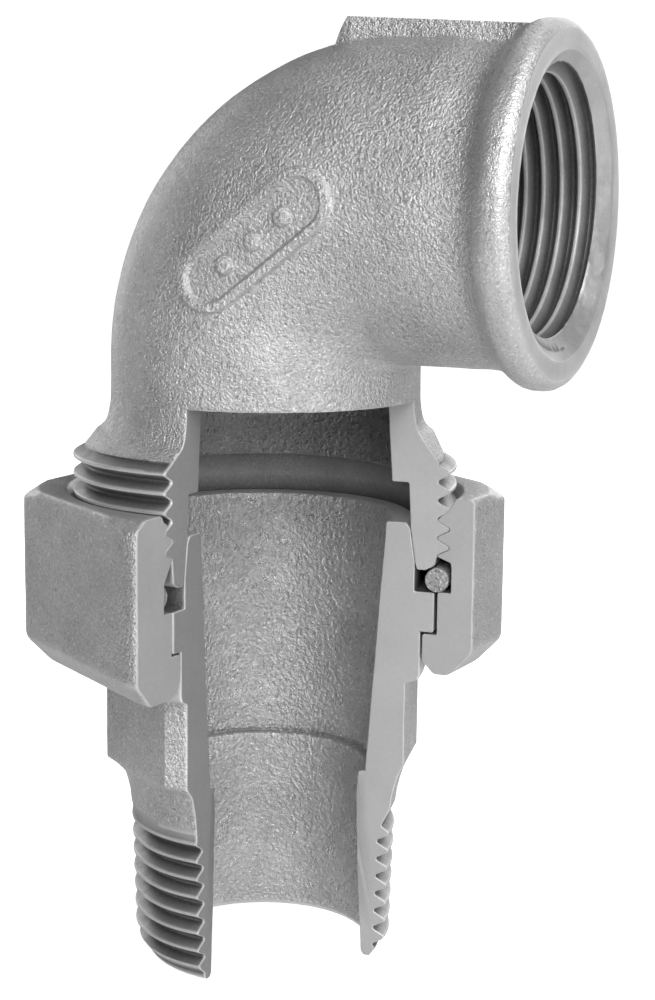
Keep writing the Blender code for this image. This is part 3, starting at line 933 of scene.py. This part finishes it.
def iron(name, tone, metallic, rough, grains, speck, streak=0.0, wear_and_light_gain=0.3, mottling=0.1):
    """Grey iron. grains is a list of (size, height); speck paints glints as bright dots on tiny
    facets and darkens other random dots; wear_and_light_gain scales the wear attribute's wear,
    painted highlights and painted shade.
    """
    mat = bpy.data.materials.new(name)
    mat.use_nodes = True
    tree = mat.node_tree
    shader = tree.nodes["Principled BSDF"]
    coords = tree.nodes.new("ShaderNodeTexCoord").outputs["Object"]
    height = None
    for size, amount in grains:
        part = math_node(tree, "MULTIPLY", link_noise(tree, coords, size, 2.5, 0.6), amount)
        height = part if height is None else math_node(tree, "ADD", height, part)
    if streak:
        turned = tree.nodes.new("ShaderNodeVectorMath")
        turned.operation = "LENGTH"
        tree.links.new(coords, turned.inputs[0])
        lines = tree.nodes.new("ShaderNodeTexNoise")
        lines.noise_dimensions = "1D"
        lines.inputs["Scale"].default_value = STREAK_SCALE
        tree.links.new(turned.outputs["Value"], lines.inputs["W"])
        part = math_node(tree, "MULTIPLY", lines.outputs["Fac"], streak)
        height = math_node(tree, "ADD", height, part)
    bump = tree.nodes.new("ShaderNodeBump")
    bump.inputs["Distance"].default_value = MM
    bump.inputs["Strength"].default_value = 1.0
    tree.links.new(height, bump.inputs["Height"])
    tree.links.new(bump.outputs["Normal"], shader.inputs["Normal"])

    # Wear attribute, with painted highlights and painted shade, as a factor on the tone.
    wear_and_painted_light = tree.nodes.new("ShaderNodeAttribute")
    wear_and_painted_light.attribute_name = "wear_and_painted_light"
    patches = link_noise(tree, coords, 7.0, 3.0)
    broad = map_range(tree, patches, 0.3, 0.7, 1.0 - mottling, 1.0 + mottling)
    # Painted glints as bright random dots; pits darken other random dots.
    glint_dots = map_range(tree, link_noise(tree, coords, 0.35, 1.0), 0.56, 0.72, 0.0, speck)
    pits = map_range(tree, link_noise(tree, coords, 0.5, 1.0), 0.28, 0.42, 1.0 - 0.6 * speck, 1.0)
    wear_and_light = math_node(tree, "MULTIPLY_ADD", wear_and_painted_light.outputs["Fac"], wear_and_light_gain, 1.0)
    base = math_node(tree, "MULTIPLY", math_node(tree, "MULTIPLY", broad, wear_and_light), tone)
    bright = math_node(tree, "ADD", base, math_node(tree, "MULTIPLY", glint_dots, tone))
    value = math_node(tree, "MULTIPLY", bright, pits)
    colour = tree.nodes.new("ShaderNodeCombineColor")
    for socket in colour.inputs[:3]:
        tree.links.new(value, socket)
    tree.links.new(colour.outputs["Color"], shader.inputs["Base Color"])
    smears = link_noise(tree, coords, 1.6, 2.0)
    gloss = map_range(tree, smears, 0.3, 0.7, rough - 0.07, rough + 0.07)
    tree.links.new(gloss, shader.inputs["Roughness"])
    shader.inputs["Metallic"].default_value = metallic
    return mat


def iron_set(prefix, tone, bore=1.2):
    """Materials of one iron piece, in the order of SLOTS; bore scales the bore's tone, as painted
    light in a lighter bore and painted shade in a darker one.
    """
    # Each row is: tone, metallic, roughness, grains, speck, and the rest by name.
    rows = {
        "cast": (tone, 0.6, 0.35, [(0.5, 0.3), (0.25, 0.15)], 0.45, {"wear_and_light_gain": 0.25}),
        "turned": (
            tone * 1.25, 0.6, 0.42, [(0.8, 0.012), (0.3, 0.006)], 0.08,
            {"streak": 0.01, "wear_and_light_gain": 0.4},
        ),
        "thread": (tone * 0.85, 0.6, 0.42, [(0.6, 0.04)], 0.12, {"wear_and_light_gain": 0.5}),
        "section": (
            tone * 0.85, 0.15, 0.6, [(0.5, 0.01), (2.5, 0.02)], 0.06,
            {"wear_and_light_gain": 0.35, "mottling": 0.04},
        ),
        "bore": (
            tone * 0.88 * bore, 0.75, 0.3, [(0.55, 0.4), (0.28, 0.2)], 0.28, {"wear_and_light_gain": 0.4},
        ),
        "smooth": (tone * 1.05, 0.6, 0.36, [(0.52, 0.12), (0.26, 0.07)], 0.35, {}),
        # Darker tone: painted shade in grooves and seats.
        "shaded_pocket": (
            tone * 0.6, 0.3, 0.55, [(0.5, 0.12), (0.25, 0.06)], 0.2,
            {"streak": 0.01, "wear_and_light_gain": 0.4},
        ),
    }
    return [iron(f"{prefix}_{slot}", *rows[slot][:-1], **rows[slot][-1]) for slot in SLOTS]


# ---------------------------------------------------------------- stage

def add_camera():
    """Camera at the fitting's three-quarter view."""
    az, el, roll = (math.radians(v) for v in (CAMERA_AZIMUTH, CAMERA_PITCH, CAMERA_ROLL))
    ahead = Vector((-math.sin(az) * math.cos(el), math.cos(az) * math.cos(el), -math.sin(el)))
    right = Vector((math.cos(az), math.sin(az), 0.0))
    up = right.cross(ahead)
    turned_right = right * math.cos(roll) + up * math.sin(roll)
    turned_up = up * math.cos(roll) - right * math.sin(roll)
    data = bpy.data.cameras.new("camera")
    data.lens = CAMERA_LENS
    data.sensor_width = CAMERA_SENSOR
    data.clip_start = 0.01
    camera = bpy.data.objects.new("camera", data)
    bpy.context.scene.collection.objects.link(camera)
    rotation = Matrix((turned_right, turned_up, -ahead)).transposed().to_4x4()
    camera.matrix_world = Matrix.Translation(CAMERA_AT) @ rotation
    bpy.context.scene.camera = camera


def add_light(name, azimuth, elevation, power):
    """Soft square lamp that faces the fitting, from an azimuth and elevation."""
    a, e = math.radians(azimuth), math.radians(elevation)
    back = Vector((math.sin(a) * math.cos(e), -math.cos(a) * math.cos(e), math.sin(e)))
    data = bpy.data.lights.new(name, "AREA")
    data.shape = "SQUARE"
    data.size = LIGHT_SIZE
    data.energy = power
    lamp = bpy.data.objects.new(name, data)
    bpy.context.scene.collection.objects.link(lamp)
    lamp.location = Vector(LIGHT_AIM) + back * LIGHT_DISTANCE
    lamp.rotation_mode = "QUATERNION"
    lamp.rotation_quaternion = (-back).to_track_quat("-Z", "Y")


def add_floor():
    """Pale floor, which glows only for the camera so that it lights nothing."""
    mesh = bpy.data.meshes.new("floor")
    half = FLOOR_HALF
    corners = [(-half, -half), (half, -half), (half, half), (-half, half)]
    mesh.from_pydata([(x, y, -FLOOR_DROP) for x, y in corners], [], [(0, 1, 2, 3)])
    floor = bpy.data.objects.new("floor", mesh)
    bpy.context.scene.collection.objects.link(floor)
    mat = bpy.data.materials.new("floor")
    mat.use_nodes = True
    tree = mat.node_tree
    shader = tree.nodes["Principled BSDF"]
    shader.inputs["Base Color"].default_value = (0.9, 0.9, 0.9, 1.0)
    shader.inputs["Roughness"].default_value = 0.9
    shader.inputs["Emission Color"].default_value = (1.0, 1.0, 1.0, 1.0)
    seen = tree.nodes.new("ShaderNodeLightPath")
    place = tree.nodes.new("ShaderNodeTexCoord").outputs["Object"]
    away = tree.nodes.new("ShaderNodeVectorMath")
    away.operation = "LENGTH"
    tree.links.new(place, away.inputs[0])
    spread = map_range(tree, away.outputs["Value"], *FLOOR_SPREAD, *FLOOR_GLOW)
    strength = math_node(tree, "MULTIPLY", seen.outputs["Is Camera Ray"], spread)
    tree.links.new(strength, shader.inputs["Emission Strength"])
    mesh.materials.append(mat)


def add_world():
    """Dim white world, which the camera sees as a bright backdrop."""
    world = bpy.data.worlds.new("world")
    world.use_nodes = True
    tree = world.node_tree
    background = tree.nodes["Background"]
    background.inputs["Color"].default_value = (1.0, 1.0, 1.0, 1.0)
    seen = tree.nodes.new("ShaderNodeLightPath").outputs["Is Camera Ray"]
    strength = math_node(tree, "MULTIPLY_ADD", seen, BACKDROP - AMBIENT, AMBIENT)
    tree.links.new(strength, background.inputs["Strength"])
    bpy.context.scene.world = world
    bpy.context.scene.view_settings.view_transform = "Standard"


def add_stage():
    """Floor, lamps and world."""
    add_floor()
    for light in LIGHTS:
        add_light(*light)
    add_world()


def add_nut():
    """Hexagon nut, with sweep angles at its corners and on both sides of each."""
    half_side = 180.0 / NUT_SIDES
    centres = [NUT_AZIMUTH + half_side * (1.0 + 2.0 * k) for k in range(-1, NUT_SIDES)]
    corners = [c + off for c in centres for off in (-NUT_CORNER_ANGLE, 0.0, NUT_CORNER_ANGLE)]
    swept_piece(
        "hexagon_nut", nut_profile, sweep_angles(CUT_START, CUT_END, corners), {"cast": 0.6},
        iron_set("nut", 0.45), "nut", "union_nut", NUT_SHADE,
    )


def add_tail():
    """Tailpiece, with sweep angles at its octagon's corners."""
    half_side = 180.0 / WRENCH_SIDES
    corners = [WRENCH_AZIMUTH + half_side * (1.0 + 2.0 * k) for k in range(WRENCH_SIDES)]
    swept_piece(
        "tail_sleeve", tail_profile, sweep_angles(CUT_START, CUT_END, corners),
        {"cast": 0.8, "bore": BORE_RELIEF}, iron_set("tail", 0.48), "tail", "tailpiece",
        LEFT_SHADE,
    )


def add_seal():
    """Sealing ring, all in one dark rough material."""
    rubber = [iron("rubber", 0.3, 0.0, 0.75, [(0.5, 0.3), (0.25, 0.15)], 0.9)] * len(SLOTS)
    swept_piece(
        "sealing_ring", ring_profile, sweep_angles(CUT_START, RING_END), {}, rubber,
        "seal", "seal_ring",
    )


def main():
    """Build every piece and the stage."""
    # The elbow's bore is darker, as painted shade inside the casting.
    elbow_irons = iron_set("elbow", 0.5, bore=0.65)
    elbow_piece(elbow_irons)
    mark_piece(elbow_irons[:1])
    add_nut()
    add_tail()
    add_seal()
    add_camera()
    add_stage()


main()
